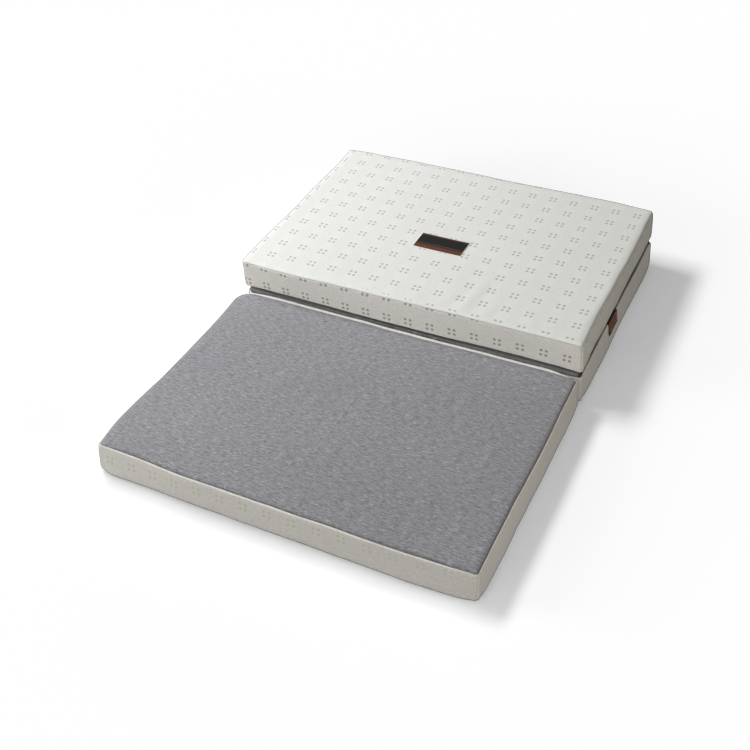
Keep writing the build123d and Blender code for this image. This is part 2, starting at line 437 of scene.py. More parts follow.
def thread_material(name, a, b):
    m = Nodes(name)
    x, y, z, v = m.coords()
    twist = m.math("SINE", m.math("MULTIPLY", m.math("ADD", m.math("ADD", x, y), z), 2 * math.pi / 0.8))
    n = m.noise(v, 0.8, 2.0)
    m.put(m.b.inputs["Base Color"], m.mix(n, a, b))
    m.put(m.b.inputs["Normal"], m.bump(twist, 0.6, 0.15))
    m.put(m.b.inputs["Roughness"], m.remap(n, 0.2, 0.8, 0.55, 0.75, "LINEAR"))
    return m.mat


def label_material(x0, x1, y0, y1, band_to):
    """Woven damask label: near-black ground, copper band along the front, pale selvedge."""
    m = Nodes("woven_label")
    x, y, z, v = m.coords()
    weft = m.math("SINE", m.math("MULTIPLY", y, 2 * math.pi / 0.8))
    warp = m.math("SINE", m.math("MULTIPLY", x, 2 * math.pi / 0.6))
    twill = m.math("SINE", m.math("MULTIPLY", m.math("ADD", x, y), 2 * math.pi / 1.6))
    n = m.noise(m.vec(m.math("MULTIPLY", x, 1 / 6.0), m.math("MULTIPLY", y, 1 / 0.9)), 1.0, 3.0)
    ground = m.mix(n, rgb(14, 12, 13), rgb(38, 33, 34))
    copper = m.mix(n, rgb(75, 42, 31), rgb(115, 70, 53))
    in_band = m.remap(y, band_to - 0.8, band_to + 0.8, 1.0, 0.0)
    col = m.mix(in_band, ground, copper)
    # two plain pinstripes on the dark ground
    for yy, hw in ((band_to + 6.0, 0.55), (y1 - 7.0, 0.55)):
        d = m.math("ABSOLUTE", m.math("SUBTRACT", y, yy))
        line = m.remap(d, hw - 0.3, hw + 0.3, 0.75, 0.0)
        col = m.mix(line, col, rgb(150, 118, 96))
    ex = m.math("MINIMUM", m.math("SUBTRACT", x, x0), m.math("SUBTRACT", x1, x))
    ey = m.math("MINIMUM", m.math("SUBTRACT", y, y0), m.math("SUBTRACT", y1, y))
    edge = m.remap(m.math("MINIMUM", ex, ey), 1.9, 2.7, 1.0, 0.0)
    col = m.mix(edge, col, rgb(238, 228, 218))
    m.put(m.b.inputs["Base Color"], col)
    h = m.math("ADD", m.math("MULTIPLY", weft, 0.4), m.math("MULTIPLY", warp, 0.3))
    h = m.math("ADD", h, m.math("MULTIPLY", twill, 0.5))
    m.put(m.b.inputs["Normal"], m.bump(h, 0.5, 0.25))
    m.put(m.b.inputs["Roughness"], m.remap(n, 0.2, 0.8, 0.5, 0.7, "LINEAR"))
    m.b.inputs["Specular IOR Level"].default_value = 0.16
    return m.mat


def tag_material(y0, y1, z_fold):
    """Copper-brown woven tag with a dark border and a paler pinstripe inside it."""
    m = Nodes("woven_tag")
    x, y, z, v = m.coords()
    rib = m.math("SINE", m.math("MULTIPLY", z, 2 * math.pi / 0.8))
    warp = m.math("SINE", m.math("MULTIPLY", y, 2 * math.pi / 0.7))
    n = m.noise(m.vec(m.math("MULTIPLY", y, 1 / 5.0), m.math("MULTIPLY", z, 1 / 0.9)), 1.0, 3.0)
    col = m.mix(n, rgb(84, 44, 31), rgb(146, 92, 70))
    d = m.math("MINIMUM", m.math("SUBTRACT", y, y0), m.math("SUBTRACT", y1, y))
    low = m.math("SUBTRACT", z, z_fold - 3.0)
    high = m.math("SUBTRACT", 88.5, z)
    inside = m.math("MINIMUM", d, m.math("MINIMUM", low, high))
    col = m.mix(m.remap(inside, 4.0, 5.2, 1.0, 0.0), col, m.mix(n, rgb(44, 20, 13), rgb(70, 36, 25)))
    q = m.math("ABSOLUTE", m.math("SUBTRACT", inside, 7.4))
    col = m.mix(m.remap(q, 0.6, 1.2, 0.75, 0.0), col, rgb(206, 174, 154))
    m.put(m.b.inputs["Base Color"], col)
    m.put(m.b.inputs["Normal"], m.bump(m.math("ADD", m.math("MULTIPLY", rib, 0.5), m.math("MULTIPLY", warp, 0.4)), 0.6, 0.3))
    m.put(m.b.inputs["Roughness"], m.remap(n, 0.2, 0.8, 0.5, 0.7, "LINEAR"))
    return m.mat


# ------------------------------------------------------------------ the sections
W, L, T = 976.0, 680.0, 88.0
GRAY_Z = 0.6            # the face cloth lies this far inside the section's full height
FR = (0.0, 0.16, 0.30, 0.40, 0.46, 0.5, 0.54, 0.60, 0.70, 0.84, 1.0)   # points of a corner arc
NC = len(FR) - 1
STEP = 7.0
NX = int(round((W - 40) / STEP))
NY = int(round((L - 40) / STEP))

# Edge profiles, from the end of the turned-in seam allowance to the flat: (inset, drop).
GRAY_EDGE = refine([(9.0, 9.2), (6.4, 9.0), (4.8, 8.4), (4.0, 7.2), (3.9, 5.6), (4.5, 4.1), (6.0, 2.6), (8.9, 1.3), (12.8, 0.5), (17.8, 0.12), (25.0, 0.0)])
GRAY_SIDE = refine([(9.0, 9.7), (6.2, 9.6), (4.6, 9.2), (3.6, 8.2), (2.75, 7.3), (1.85, 7.0), (1.0, 7.6), (0.45, 9.2), (0.1, 12.0)])
PRESSED_EDGE = refine([(16.0, 4.5), (12.8, 4.3), (10.8, 3.9), (10.0, 3.2), (10.4, 2.3), (12.0, 1.4), (14.6, 0.75), (17.4, 0.35), (20.0, 0.14), (22.5, 0.04), (25.0, 0.0)])
PRESSED_SIDE = refine([(16.0, 4.9), (12.6, 4.8), (9.6, 4.4), (6.8, 3.3), (4.4, 2.0), (2.4, 1.2), (1.1, 1.6), (0.4, 3.2), (0.0, 6.4)])
DOT_EDGE = refine([(9.0, 7.6), (5.0, 7.5), (2.0, 7.3), (0.85, 6.8), (0.55, 5.9), (0.95, 4.7), (2.0, 3.4), (3.9, 2.2), (6.8, 1.2), (10.8, 0.5), (16.0, 0.12), (25.0, 0.0)])
DOT_SIDE = refine([(9.0, 8.0), (5.0, 7.9), (1.9, 7.8), (0.75, 8.0), (0.25, 8.8), (0.05, 10.2), (0.0, 12.4)])
FLOOR_EDGE = refine([(10.0, 1.75), (8.0, 1.65), (6.5, 1.45), (5.6, 1.1), (5.8, 0.68), (7.0, 0.34), (9.2, 0.12), (12.5, 0.03), (17.0, 0.0), (25.0, 0.0)])
FLOOR_SIDE = refine([(10.0, 2.25), (7.6, 2.15), (5.7, 2.15), (4.0, 2.6), (2.5, 3.7), (1.3, 5.6), (0.5, 8.4), (0.1, 12.0), (0.0, 15.0)])


def along(values, u):
    """Catmull-Rom through values spaced evenly over u = -1..1."""
    v = np.array([2 * values[0] - values[1]] + list(values) + [2 * values[-1] - values[-2]], float)
    n = len(values) - 1
    q = (np.clip(u, -1, 1) + 1) / 2 * n
    i = np.minimum(np.floor(q).astype(int), n - 1)
    f = q - i
    p0, p1, p2, p3 = v[i], v[i + 1], v[i + 2], v[i + 3]
    return 0.5 * (2 * p1 + (p2 - p0) * f + (2 * p0 - 5 * p1 + 4 * p2 - p3) * f ** 2 + (3 * p1 - p0 - 3 * p2 + p3) * f ** 3)


def ring(inset, radii, hx=W / 2, hy=L / 2):
    """Points round a section at an inset, counter-clockwise from the middle of the front-left corner."""
    hx, hy = hx - inset, hy - inset
    rr = [max(r - 0.62 * inset, 4.0) if inset >= 0 else r - inset for r in radii]
    cen = [(-hx + rr[0], -hy + rr[0]), (hx - rr[1], -hy + rr[1]), (hx - rr[2], hy - rr[2]), (-hx + rr[3], hy - rr[3])]
    start = [math.pi, 1.5 * math.pi, 0.0, 0.5 * math.pi]
    half = NC // 2
    arcs = []
    for k in range(4):
        ang = [start[k] + f * math.pi / 2 for f in FR]
        arcs.append(np.array([(cen[k][0] + rr[k] * math.cos(q), cen[k][1] + rr[k] * math.sin(q)) for q in ang]))
    out = []
    for k, n in enumerate((NX, NY, NX, NY)):
        a, b = arcs[k], arcs[(k + 1) % 4]
        run = a[-1] + (b[0] - a[-1]) * np.linspace(0, 1, n + 1)[:, None]
        out.append(np.vstack([a[half:], run[1:-1], b[: half + 1]])[:-1])
    return np.vstack(out)


COUNT = [NC + n for n in (NX, NY, NX, NY)]      # points of each side, its first corner included
FIRST = [0, COUNT[0], COUNT[0] + COUNT[1], COUNT[0] + COUNT[1] + COUNT[2]]
M = sum(COUNT)


class Section:
    def __init__(self, name, cx, y0, z0, gray_up, radii, seed, bulge, tuck, lift, top, low):
        self.name, self.cx, self.cy, self.z0 = name, cx, y0 + L / 2, z0
        self.gray_up, self.radii, self.seed, self.bulge = gray_up, radii, seed, bulge
        self.body = name + "_section"
        self.top, self.low, self.tuck = top, low, tuck
        base = ring(0.0, radii)
        step = np.linalg.norm(np.roll(base, -1, 0) - base, axis=1)
        self.t = np.concatenate([[0], np.cumsum(step)[:-1]])
        self.per = step.sum()
        nxt, prv = np.roll(base, -1, 0), np.roll(base, 1, 0)
        d = nxt - prv
        d /= np.linalg.norm(d, axis=1)[:, None]
        self.out = np.stack([d[:, 1], -d[:, 0]], -1)
        self.corner = np.min([np.abs((self.t - self.t[f] + self.per / 2) % self.per - self.per / 2) for f in FIRST], axis=0)
        # where the upper seam stands higher than elsewhere, or is pressed down (a part of its drop)
        self.lift = np.zeros(M)
        for side, k in lift.items():
            idx = (np.arange(COUNT[side] + 1) + FIRST[side]) % M
            self.lift[idx] = k * smooth(self.corner[idx], 0, 42)

    def warp(self, p):
        """Swell the outline: each side's offset at the upper and the lower edge, read along the side."""
        p = np.array(p, float)
        u, v = (p[..., 0] - self.cx) / (W / 2), (p[..., 1] - self.cy) / (L / 2)
        s = np.clip((p[..., 2] - self.z0) / T, 0, 1)
        wu, wv = np.minimum(np.abs(u), 1.05) ** 6, np.minimum(np.abs(v), 1.05) ** 6
        hi, lo = s, 1 - s
        # the zip keeps the left side flat at mid-height
        end = smooth(np.abs(v), 0.88, 0.98)
        hz = np.maximum(2 * s - 1, 0) ** 2 * (1 - end) + s * end
        lz = np.maximum(1 - 2 * s, 0) ** 2 * (1 - end) + (1 - s) * end
        front = hi * along(self.top[0], u) + lo * along(self.low[0], u)
        rear = hi * along(self.top[2], u) + lo * along(self.low[2], u)
        right = hi * along(self.top[1], v) + lo * along(self.low[1], v)
        left = hz * along(self.top[3], v) + lz * along(self.low[3], v)
        p[..., 0] += wu * np.where(u > 0, right, -left)
        p[..., 1] += wv * np.where(v > 0, rear, -front)
        # the lower corners are rounded under
        if self.tuck:
            c = smooth(np.abs(u) * W / 2, W / 2 - 42, W / 2) * smooth(np.abs(v) * L / 2, L / 2 - 46, L / 2) * (1 - s) ** 2
            k = [np.where(v < 0, np.where(u < 0, a, b), np.where(u < 0, e, d)) * c for a, b, d, e in zip(*self.tuck)]
            p[..., 0] -= np.sign(u) * k[0]
            p[..., 1] -= np.sign(v) * k[1]
            p[..., 2] += 0.12 * k[1]
        return p

    # how the seam wanders and the cloth puckers along the edge
    def seam_wander(self, which):
        s = self.seed + 17 * which
        far = smooth(self.corner, 10, 60)
        z = 0.9 * wave1(self.t, 170, s + 1, self.per) + 0.5 * wave1(self.t, 62, s + 2, self.per) * far
        d = 1.1 * wave1(self.t, 210, s + 3, self.per) + 0.45 * wave1(self.t, 48, s + 4, self.per) * far
        if self.name == "folded" and which == 1:
            # the fold strip is sewn on here and holds the seam straight
            idx = (np.arange(COUNT[2] + 1) + FIRST[2]) % M
            held = 1 - 0.9 * smooth(self.corner[idx], 0, 40)
            z[idx], d[idx] = z[idx] * held, d[idx] * held
        return z, d

    def pucker(self, which, k):
        s = self.seed + 31 * which + 7 * k
        far = smooth(self.corner, 4, 30)
        return (0.65 * wave1(self.t, 33, s + 5, self.per) + 0.45 * wave1(self.t, 19, s + 6, self.per)) * far

    def face_relief(self, x, y, up):
        """Broad unevenness of a face, in mm, fading to nothing at the edge."""
        s = self.seed + (100 if up else 200)
        inset = np.minimum(W / 2 - np.abs(x - self.cx), L / 2 - np.abs(y - self.cy))
        fade = smooth(inset, 4, 70)
        crown = 1.3 * (1 - ((x - self.cx) / (W / 2)) ** 2) * (1 - ((y - self.cy) / (L / 2)) ** 2)
        z = 0.55 * wave2(x, y, 240, 190, s) + 0.28 * wave2(x, y, 95, 80, s + 1) + 0.10 * wave2(x, y, 38, 34, s + 2)
        return (crown + z * fade) * fade

    def panel(self, name, mat, gray, top, relief=1.0, extra=None, press=None):
        """A face: turned-in edge, roll and flat, on the top or the bottom of the section."""
        edge = (GRAY_EDGE if top else PRESSED_EDGE) if gray else (DOT_EDGE if top else FLOOR_EDGE)
        zf = self.z0 + T - GRAY_Z if top else self.z0
        sg = -1.0 if top else 1.0
        which = 0 if top else 1
        wz, wd = self.seam_wander(which)
        pk = self.pucker(which, 0)
        loops = []
        for inset, drop in edge:
            fall = 1 - smooth(inset, 4, 24)
            p = ring(inset, self.radii)
            x = p[:, 0] - self.out[:, 0] * wd * fall
            y = p[:, 1] - self.out[:, 1] * wd * fall
            hump = math.exp(-((inset - 9.0) / 5.0) ** 2) if drop < 4 else 0.0
            z = zf + sg * drop * (1 - (self.lift if top and gray else 0.0)) + sg * wz * fall * (0.0 if not top and not gray else 1.0) + (0.55 * pk * hump if (top or gray) else 0.0)
            if press is not None and drop < 4.0:
                z = z + press(x + self.cx, y + self.cy) * float(smooth(inset, 4.5, 15))
            loops.append(np.stack([x + self.cx, y + self.cy, z], -1))
        inner = loops[-1]
        nx, ny = NC + NX, NC + NY
        c0 = inner[FIRST[0]: FIRST[0] + nx + 1]
        d1 = inner[FIRST[1]: FIRST[1] + ny + 1]
        c1 = inner[FIRST[2]: FIRST[2] + nx + 1][::-1]
        d0 = np.vstack([inner[FIRST[3]:], inner[:1]])[::-1]
        u = ((c0[:, 0] - c0[0, 0]) / (c0[-1, 0] - c0[0, 0]))[:, None, None]
        v = ((d0[:, 1] - d0[0, 1]) / (d0[-1, 1] - d0[0, 1]))[None, :, None]
        g = (1 - v) * c0[:, None] + v * c1[:, None] + (1 - u) * d0[None] + u * d1[None]
        g = g - ((1 - u) * (1 - v) * c0[0] + u * (1 - v) * c0[-1] + (1 - u) * v * c1[0] + u * v * c1[-1])
        if relief:
            r = self.face_relief(g[..., 0], g[..., 1], top) * relief
            g[..., 2] += r if top else -r
        if extra is not None:
            g[..., 2] += extra(g[..., 0], g[..., 1])
        if press is not None:
            g[1:-1, 1:-1, 2] += press(g[1:-1, 1:-1, 0], g[1:-1, 1:-1, 1])
        # points: the loops but the innermost, then the grid, whose border is the innermost loop
        k = len(loops) - 1
        verts = np.vstack([np.vstack(loops[:-1]), g.reshape(-1, 3)])
        gid = (np.arange((nx + 1) * (ny + 1)) + k * M).reshape(nx + 1, ny + 1)
        border = np.concatenate([gid[:-1, 0], gid[-1, :-1], gid[1:, -1][::-1], gid[0, 1:][::-1]])
        faces = [grid_faces(k, M, close=True)]
        a = (k - 1) * M + np.arange(M)
        faces.append(np.stack([a, np.roll(a, -1), np.roll(border, -1), border], -1))
        q = np.stack([gid[:-1, :-1], gid[1:, :-1], gid[1:, 1:], gid[:-1, 1:]], -1).reshape(-1, 4)
        faces.append(q)
        faces = np.vstack(faces)
        if not top:
            faces = faces[:, ::-1]
        ob = mesh_object(name, self.warp(verts), faces, mat, thick=0.9)
        return ob

    def side_rows(self):
        """The gusset's rows from the upper seam to the lower: (inset, z), with the upper and lower seam heights."""
        up = GRAY_SIDE if self.gray_up else DOT_SIDE
        low = FLOOR_SIDE if self.gray_up else PRESSED_SIDE
        zt, zb = self.z0 + T - GRAY_Z, self.z0
        rows = [(d, zt - q) for d, q in up]
        z1, z2 = rows[-1][1], zb + low[-1][1]
        n = 16
        mid = []
        for z in np.linspace(z1, z2, n + 2)[1:-1]:
            mid.append((0.0, z))
        rows += mid + [(d, zb + q) for d, q in low[::-1]]
        return rows, zt, zb

    def gusset(self, side, mat, zip_slot=None):
        """One side strip between two corner seams; side 0 front, 1 right, 2 rear, 3 left."""
        rows, zt, zb = self.side_rows()
        wz0, wd0 = self.seam_wander(0)
        wz1, wd1 = self.seam_wander(1)
        pk0, pk1 = self.pucker(0, 1), self.pucker(1, 2)
        zc = (zt + zb) / 2
        if zip_slot:
            extra = [(0.0, zip_slot[2] + s * q) for s in (-1, 1) for q in (5.4, 7.5, 10.0)]
            rows = [r for r in rows if abs(r[1] - zip_slot[2]) > 12.0] + extra
            rows = sorted([r for r in rows if r[1] > zip_slot[2]], key=lambda r: 0) + sorted([r for r in rows if r[1] <= zip_slot[2]], key=lambda r: 0)
            hi = [r for r in rows if r[1] > zip_slot[2]]
            lo = [r for r in rows if r[1] <= zip_slot[2]]
            hi_x = sorted([r for r in hi if r in extra], key=lambda r: -r[1])
            lo_x = sorted([r for r in lo if r in extra], key=lambda r: -r[1])
            rows = [r for r in hi if r not in extra] + hi_x + lo_x + [r for r in lo if r not in extra]
        idx = (np.arange(COUNT[side] + 1) + FIRST[side]) % M
        t, out, corner = self.t[idx], self.out[idx], self.corner[idx]
        bul = self.bulge[side] * (1 + 0.22 * wave1(self.t, 190, self.seed + 61, self.per)[idx]) * (0.35 + 0.65 * smooth(corner, 4, 90))
        far = smooth(corner, 8, 80)
        ripple = 0.5 * wave1(self.t, 75, self.seed + 62, self.per)[idx] * far
        fine = 0.42 * wave1(self.t, 24, self.seed + 63, self.per)[idx] * np.maximum(wave1(self.t, 130, self.seed + 64, self.per)[idx] + 0.35, 0) * far
        turn = np.random.RandomState(self.seed + 65).uniform(0, 2 * np.pi, 4)[side]
        gather = np.exp(-((corner - 16.0) / 15.0) ** 2) * smooth(corner, 3, 9)
        pts = []
        for inset, z in rows:
            du, dl = zt - z, z - zb
            nu, nl = math.exp(-max(du - 8, 0) / 13.0), math.exp(-max(dl - 8, 0) / 13.0)
            s = (z - zb) / (zt - zb)
            h = 4 * s * (1 - s)
            if zip_slot:
                q = abs(z - zip_slot[2])
                span = (zt - zb) / 2
                b = bul * 4 * (q / span) * (1 - q / span) * 0.9
            else:
                b = bul * h ** 0.8
            p = ring(inset, self.radii)[idx]
            push = b + (ripple + fine) * h * (0.25 if zip_slot else 1.0)
            push = push + 0.95 * np.sin(2 * np.pi * (corner / 12.5 + 0.8 * (1 - s)) + turn) * gather * h
            if self.name == "front" and side in (0, 2):
                push = push + (5.4 if side == 2 else 1.4) * min(max((3.0 - inset) / 2.4, 0.0), 1.0) * (1 - float(smooth(du, 13, 36))) * smooth(corner, 12, 80)
            if self.name == "front" and side == 3:
                # here the gray cloth rolls out over the seam
                push = push - 2.3 * (1 - float(smooth(du, 12, 34))) * smooth(corner, 4, 40)
            fu, fl = 1 - smooth(du, 7, 34), 1 - smooth(dl, 7, 34)
            push = push - wd0[idx] * fu - wd1[idx] * fl
            calm = 1.0 - 0.75 * (1 - smooth(abs(z - (zip_slot[2] if zip_slot else -999)), 8, 30))
            if inset < 2.5:
                push = push + (0.75 * pk0[idx] * nu + 0.6 * pk1[idx] * nl) * calm
            # the cloth is drawn in at the corner seams
            push = push - 1.9 * np.exp(-(corner / 1.7) ** 2) + 0.85 * np.exp(-((corner - 4.2) / 2.0) ** 2) - 0.3 * np.exp(-(corner / 11.0) ** 2)
            zz = z + self.lift[idx] * du * (1 - float(smooth(du, 9, 36))) - wz0[idx] * fu + (wz1[idx] * fl if not self.gray_up else 0.0)
            pts.append(np.stack([p[:, 0] + out[:, 0] * push + self.cx, p[:, 1] + out[:, 1] * push + self.cy, np.full(len(idx), 1.0) * zz], -1))
        g = np.array(pts)
        # seam allowance turned in at both corners
        first, last = g[:, :1].copy(), g[:, -1:].copy()
        first[:, 0, :2] -= out[0] * 5.0
        last[:, 0, :2] -= out[-1] * 5.0
        g = np.concatenate([first, g, last], axis=1)
        nr, nc = g.shape[:2]
        faces = grid_faces(nr, nc, flip=True)
        if zip_slot:
            ya, yb, zs = zip_slot
            keep = []
            flat = g.reshape(-1, 3)
            cen = flat[faces].mean(1)
            inside = (np.abs(cen[:, 2] - zs) < 5.0) & (cen[:, 1] > ya) & (cen[:, 1] < yb)
            faces = faces[~inside]
        return mesh_object(self.name + "_" + ("front", "right", "rear", "left")[side] + "_gusset_cloth", self.warp(g.reshape(-1, 3)), faces, mat, thick=0.9)


def declare(ob, body, nodes):
    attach(ob, body)
    if nodes:
        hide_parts(*nodes)
    return ob


IVORY = (0.765, 0.768, 0.735, 1)
IVORY_SIDE = (0.785, 0.765, 0.72, 1)
STRIP_PAINTED_LIGHT = {("folded", 0): 1.08, ("front", 0): 0.97, ("front", 2): 1.2}      # painted light and shade: these strips' ivory is scaled lighter or darker for how each is lit
DOT_GRAY = (0.46, 0.465, 0.45, 1)
DOT_DARK = (0.30, 0.292, 0.27, 1)
OLIVE = (0.66, 0.645, 0.53, 1)

SECTIONS = {
    # top and low: how far the upper and lower edges of the front, right, rear and left sides stand
    # out from the nominal rectangle, read from left to right or from front to rear
    "front": dict(cx=2.0, y0=-693.5, z0=0.0, gray_up=True, radii=(9, 5, 10, 44), seed=11, bulge=(2.4, 2.2, 2.0, 2.0), tuck=((5.0, 9.5), (3.0, 4.6), (2.0, 0.5), (3.0, 0.5)), lift={2: 0.74},
                  top=((-8.4, -8.4, -0.6, 0.4, -0.2, -0.8, 0.9, -2.4, -5.0), (0, -0.9, -1.6, -2.0, -1.2, -1.0, -2.4, -3.0, -3.2), (5.0, 3.6, 3.1, 2.9, 2.9, 2.8, 2.7, 2.4, 1.5), (-5.8, 5.5, 6.5, -0.8, -1.9, -2.0, -1.6, 2.7, 11.0)),
                  low=((7, 7.6, 10.2, 11.4, 12, 13.6, 13.6, 12.2, 6.0), (4, 7, 9, 8.5, 8, 7.5, 6.6, 6.6, 5.6), (0, 0, 0, 0, 0, 0, 0, 0, 0), (9, 6, 5, 5, 5, 5, 5, 5, 4))),
    "middle": dict(cx=2.0, y0=-3.5, z0=0.0, gray_up=True, radii=(16, 6, 12, 18), seed=211, bulge=(2.0, 2.2, 2.4, 2.0), tuck=((3.0, 0.5), (2.5, 0.4), (3.0, 2.0), (3.0, 2.0)), lift={0: -0.3, 1: 0.6},
                   top=((0, 0, 0, 0, 0, 0, 0, 0, 0), (1, 1, 1, 1, 1, 1, 1, 1, 1), (0, 1, 2, 2, 2, 2, 2, 1, 0), (-9, -2, 2, 2, 2, 2, 2, 1, 0)),
                   low=((0, 0, 0, 0, 0, 0, 0, 0, 0), (9.6, 10.6, 10.2, 8.2, 6.6, 8.6, 10, 10, 7.5), (2, 4, 5, 6, 6, 6, 5, 4, 2), (-6, 2, 4, 4, 4, 4, 4, 4, 2))),
    "folded": dict(cx=-6.0, y0=8.5, z0=90.0, gray_up=False, radii=(12, 6, 9, 12), seed=411, bulge=(2.2, 2.4, 2.4, 2.0), tuck=(), lift={},
                   top=((0, 6, 6, 5, 3, 2, 3, 3, 1), (2, -1, -1, 1, 0, 2, 2, 0, 1), (7.5, 13, 14, 12, 9.5, 8, 9.5, 10, -1), (-3, -1, 1.5, -2, -1, 2, 2, 3, 8)),
                   low=((-1.5, -1.0, -0.6, 3.1, 4.6, 2.6, -1.6, -3.0, 3.4), (10, 7.5, 5.6, 5.4, 6.0, 5.4, 5.8, 5.0, 4), (2, 3, 4, 4, 4, 4, 4, 3, 1), (0, 1, 2, 0, 0, 1, 1.5, 2, 4))),
}
# where each dotted panel's clusters fall: a cluster's centre along its two axes
GRID = {
    ("front", "back"): (5.0, -626.5), ("middle", "back"): (5.0, 71.5), ("folded", "back"): (11.0, 70.0),
    ("front", 0): (-11.5, 57.1), ("front", 1): (-596.5, 33.0), ("front", 2): (-9.0, 41.0), ("front", 3): (-596.5, 20.0),
    ("middle", 0): (-9.0, 30.0), ("middle", 1): (48.5, 26.0), ("middle", 2): (-17.0, 33.0), ("middle", 3): (63.5, 20.0),
    ("folded", 0): (15.5, 113.6), ("folded", 1): (49.5, 108.0), ("folded", 2): (-17.0, 118.0), ("folded", 3): (63.5, 110.0),
}
TILT = {("folded", "back"): dict(slope=0.0155, field=(-489.0, 476.0, 14.5, 694.0)), ("folded", 0): dict(pitch=62.0, slope=0.0185, curve=0.000017),
        ("front", 0): dict(slope=0.0175, curve=-0.000005, field=(-600.0, 600.0, 24.0, 200.0), fade=(0.0, 430.0, 0.55))}
# painted sheen: each strip's dot colour and strength stand in for how the satin weave's sheen shows under this light,
# faint and olive on some strips and dark on others
DOT_PAINTED_SHEEN = {
    ("front", 0): (OLIVE, 0.95), ("front", 1): (OLIVE, 0.25), ("middle", 1): (OLIVE, 0.2), ("folded", 1): (DOT_DARK, 0.42),
    ("folded", 0): (DOT_DARK, 0.82),
}


def folded_creases(x, y):
    """Soft pulls in the cloth that run back from the folded section's front edge."""
    z = 0.0
    for x0, y0, x1, y1, depth, width in (
        (153, 25, 179, 233, 1.15, 15), (98, 28, 131, 153, 0.9, 12), (218, 23, 239, 123, 0.7, 10),
        (-57, 25, -37, 113, 0.6, 12), (23, 25, 37, 93, 0.5, 9), (333, 25, 343, 103, 0.5, 12),
    ):
        dx, dy = x1 - x0, y1 - y0
        ln = math.hypot(dx, dy)
        s = ((x - x0) * dx + (y - y0) * dy) / ln
        q = ((x - x0) * dy - (y - y0) * dx) / ln
        along = smooth(s, -10, 25) * (1 - smooth(s, ln * 0.45, ln))
        z = z + along * depth * (np.exp(-(q / width) ** 2) - 0.7 * np.exp(-((q - 1.9 * width) / width) ** 2))
    return z


def pressed_under(x, y):
    """The middle section's top gives a little under the folded one."""
    return -2.2 * smooth(y, 1.0, 11.0) * smooth(W / 2 - np.abs(x - 2.0), 3, 45) * smooth(676.5 - y, 3, 45)


def resting_sag(x, y):
    """The folded section's underside settles into that dent."""
    q = np.minimum(W / 2 - np.abs(x + 6.0), np.minimum(y - 8.5, 688.5 - y))
    return -2.0 * smooth(q, 24, 90)


def gray_creases(x, y):
    """A faint fold line left across the front section's gray face."""
    z = 0.0
    for x0, y0, x1, y1, depth, width in ((9, -270, 9, -530, 0.25, 9), (260, -60, 300, -180, 0.4, 12), (-330, -600, -250, -560, 0.5, 14)):
        dx, dy = x1 - x0, y1 - y0
        ln = math.hypot(dx, dy)
        s = ((x - x0) * dx + (y - y0) * dy) / ln
        q = ((x - x0) * dy - (y - y0) * dx) / ln
        along = smooth(s, -30, 40) * (1 - smooth(s, ln - 60, ln + 20))
        z = z + along * depth * np.exp(-(q / width) ** 2)
    return z


MAT_GRAY = gray_heather("gray_heather_cloth", "xy", 0.98)
# the front section's gray has a crease with a painted highlight beside it
MAT_GRAY_FRONT = gray_heather("gray_heather_cloth_creased", "xy", 0.98, (9.2, -525.0, -285.0))
# the middle section's gray carries painted shade along its right seam and its front edge
MAT_GRAY_MIDDLE = gray_heather("gray_heather_cloth_pressed", "xy", 0.98, painted_seam_shade=(484.0, 1.0))
MAT_FOAM = foam_material()
MAT_TAPE = tape_material()
MAT_COIL = coil_material()
MAT_METAL = zip_metal_material()
MAT_THREAD = thread_material("ivory_thread", rgb(206, 203, 194), rgb(232, 229, 221))

built = {}
ZIP_L, TAPE_W, COIL_W, COIL_H = 560.0, 16.0, 5.0, 1.4

